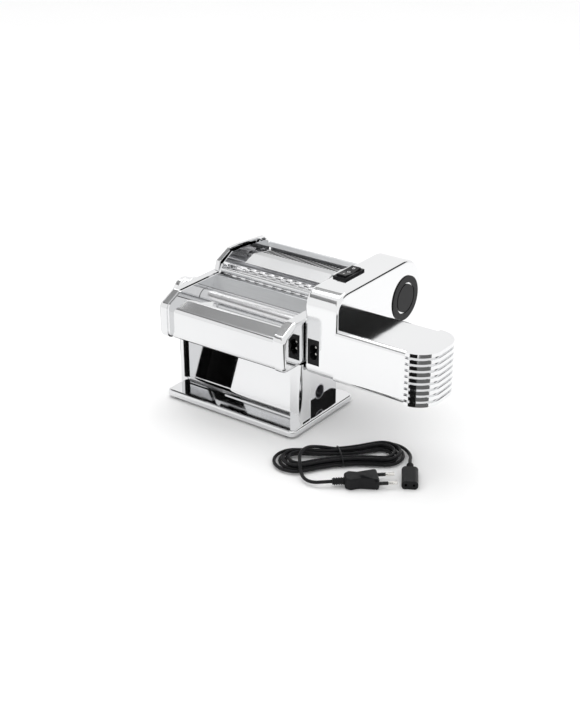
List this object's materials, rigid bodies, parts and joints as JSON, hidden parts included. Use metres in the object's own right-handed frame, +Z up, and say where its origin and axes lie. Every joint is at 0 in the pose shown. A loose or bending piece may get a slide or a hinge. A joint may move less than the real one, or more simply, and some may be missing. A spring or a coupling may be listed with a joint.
{
  "type": "pasta roller machine",
  "caption": "Motor-driven pasta roller: chrome stand, two rollers with a thickness knob, a lift-off double cutter and a plug-on motor with its coiled mains lead.",
  "frame": {"origin": "on the table, under the middle of the machine's box, its loose mains lead left out", "axes": "+X along the rollers from the thickness knob to the motor, +Y to the back, +Z up"},
  "size_m": [0.3762, 0.2705, 0.1795],
  "materials": {
    "polished_steel": "mirror polished sheet",
    "roller_steel": "fine satin",
    "drive_steel": "machined",
    "grey_sheet": "matt grey",
    "bronze": "sintered",
    "knob_plate": "plated",
    "housing": "chrome-plated",
    "black_plastic": "satin",
    "nylon": "matt",
    "rubber": "matt",
    "cord_black": "satin",
    "pin_metal": "plated"
  },
  "bodies": {
    "frame": {"base_plate": "polished_steel", "rubber_feet": "rubber", "base_screws": "drive_steel", "left_cheek_plate": "polished_steel", "right_cheek_plate": "polished_steel", "columns": "polished_steel", "chute_panel": "polished_steel", "rear_panel": "polished_steel", "stand_tie_rods": "drive_steel", "clamp_socket": "drive_steel", "left_end_cap": "polished_steel", "right_end_cap": "polished_steel", "front_cover": "polished_steel", "hopper_plate": "grey_sheet", "roller_bushes": "bronze", "cord_hank": "cord_black", "hank_tie": "cord_black", "plug_lead": "cord_black", "connector_lead": "cord_black", "plug_body": "cord_black", "plug_pins": "pin_metal", "cord_connector": "cord_black"},
    "front_roller": {"front_roller": "roller_steel", "front_roller_gear": "drive_steel", "drive_socket": "drive_steel"},
    "roller_carriage": {"left_bearing_block": "nylon", "right_bearing_block": "nylon", "carriage_tie_bar": "drive_steel"},
    "rear_roller": {"rear_roller": "roller_steel", "rear_roller_gear": "drive_steel"},
    "adjuster": {"adjuster_spindle": "drive_steel", "snail_cam": "drive_steel"},
    "knob": {"thickness_knob": "knob_plate"},
    "cutter_head": {"cutter_plates": "polished_steel", "cutter_caps": "polished_steel", "cutter_front_bar": "polished_steel", "cutter_feed_plate": "grey_sheet", "cutter_rear_plate": "grey_sheet", "cutter_tie_rods": "drive_steel"},
    "wide_cutter_front": {"wide_cutter_front": "roller_steel"},
    "wide_cutter_rear": {"wide_cutter_rear": "roller_steel"},
    "fine_cutter_front": {"fine_cutter_front": "roller_steel"},
    "fine_cutter_rear": {"fine_cutter_rear": "roller_steel"},
    "motor_unit": {"motor_inner_case": "housing", "motor_outer_case": "housing", "finned_end_cap": "housing", "emblem_trim": "black_plastic", "switch_frame": "black_plastic", "mains_inlet": "black_plastic", "inlet_pins": "pin_metal", "locating_pegs": "nylon", "stator": "drive_steel", "bearing_brackets": "drive_steel", "idler_pin": "drive_steel", "output_bush": "bronze"},
    "output_drive": {"output_drive": "drive_steel"},
    "compound_gear": {"compound_gear": "nylon"},
    "armature": {"armature": "drive_steel"},
    "switch_rocker": {"switch_rocker": "black_plastic"}
  },
  "joints": [
    {"name": "armature_spin", "type": "hinge", "parent": "motor_unit", "child": "armature", "pos_m": [0.10125, -0.0325, 0.105], "axis": [1, 0, 0], "continuous": true},
    {"name": "front_roller_spin", "type": "hinge", "parent": "frame", "child": "front_roller", "pos_m": [-0.06875, -0.04, 0.1155], "axis": [1, 0, 0], "continuous": true},
    {"name": "adjuster_turn", "type": "hinge", "parent": "frame", "child": "adjuster", "pos_m": [-0.15075, -0.04, 0.1155], "axis": [1, 0, 0], "range_deg": [0, 150]},
    {"name": "knob_pull", "type": "slide", "parent": "adjuster", "child": "knob", "axis": [-1, 0, 0], "range_m": [0, 0.004], "stiffness_N_per_m": 400},
    {"name": "carriage_slide", "type": "slide", "parent": "frame", "child": "roller_carriage", "axis": [0, 1, 0], "range_m": [0, 0.002]},
    {"name": "rear_roller_spin", "type": "hinge", "parent": "roller_carriage", "child": "rear_roller", "pos_m": [-0.06875, -0.0156, 0.1155], "axis": [1, 0, 0], "continuous": true},
    {"name": "cutter_lift", "type": "slide", "parent": "frame", "child": "cutter_head", "axis": [0, 0, 1], "range_m": [0, 0.06]},
    {"name": "wide_front_spin", "type": "hinge", "parent": "cutter_head", "child": "wide_cutter_front", "pos_m": [-0.06875, -0.004, 0.135], "axis": [1, 0, 0], "continuous": true},
    {"name": "wide_rear_spin", "type": "hinge", "parent": "cutter_head", "child": "wide_cutter_rear", "pos_m": [-0.06875, 0.0094, 0.135], "axis": [1, 0, 0], "continuous": true},
    {"name": "fine_front_spin", "type": "hinge", "parent": "cutter_head", "child": "fine_cutter_front", "pos_m": [-0.06875, 0.061, 0.135], "axis": [1, 0, 0], "continuous": true},
    {"name": "fine_rear_spin", "type": "hinge", "parent": "cutter_head", "child": "fine_cutter_rear", "pos_m": [-0.06875, 0.0744, 0.135], "axis": [1, 0, 0], "continuous": true},
    {"name": "motor_slide", "type": "slide", "parent": "frame", "child": "motor_unit", "axis": [1, 0, 0], "range_m": [0, 0.04]},
    {"name": "output_spin", "type": "hinge", "parent": "motor_unit", "child": "output_drive", "pos_m": [0.04125, -0.04, 0.1155], "axis": [1, 0, 0], "continuous": true},
    {"name": "compound_spin", "type": "hinge", "parent": "motor_unit", "child": "compound_gear", "pos_m": [0.04925, -0.00978, 0.12475], "axis": [1, 0, 0], "continuous": true},
    {"name": "rocker_tilt", "type": "hinge", "parent": "motor_unit", "child": "switch_rocker", "pos_m": [0.03495, -0.002, 0.1725], "axis": [1, 0, 0], "range_deg": [-8, 8]}
  ],
  "couplings": [
    {"joint": "compound_spin", "follows": "armature_spin", "ratio": -0.25},
    {"joint": "output_spin", "follows": "armature_spin", "ratio": 0.1},
    {"joint": "front_roller_spin", "follows": "armature_spin", "ratio": 0.1},
    {"joint": "rear_roller_spin", "follows": "armature_spin", "ratio": -0.1},
    {"joint": "adjuster_turn", "follows": "carriage_slide", "rad_per_m": 1309},
    {"joint": "wide_rear_spin", "follows": "wide_front_spin", "ratio": -1},
    {"joint": "fine_rear_spin", "follows": "fine_front_spin", "ratio": -1}
  ]
}
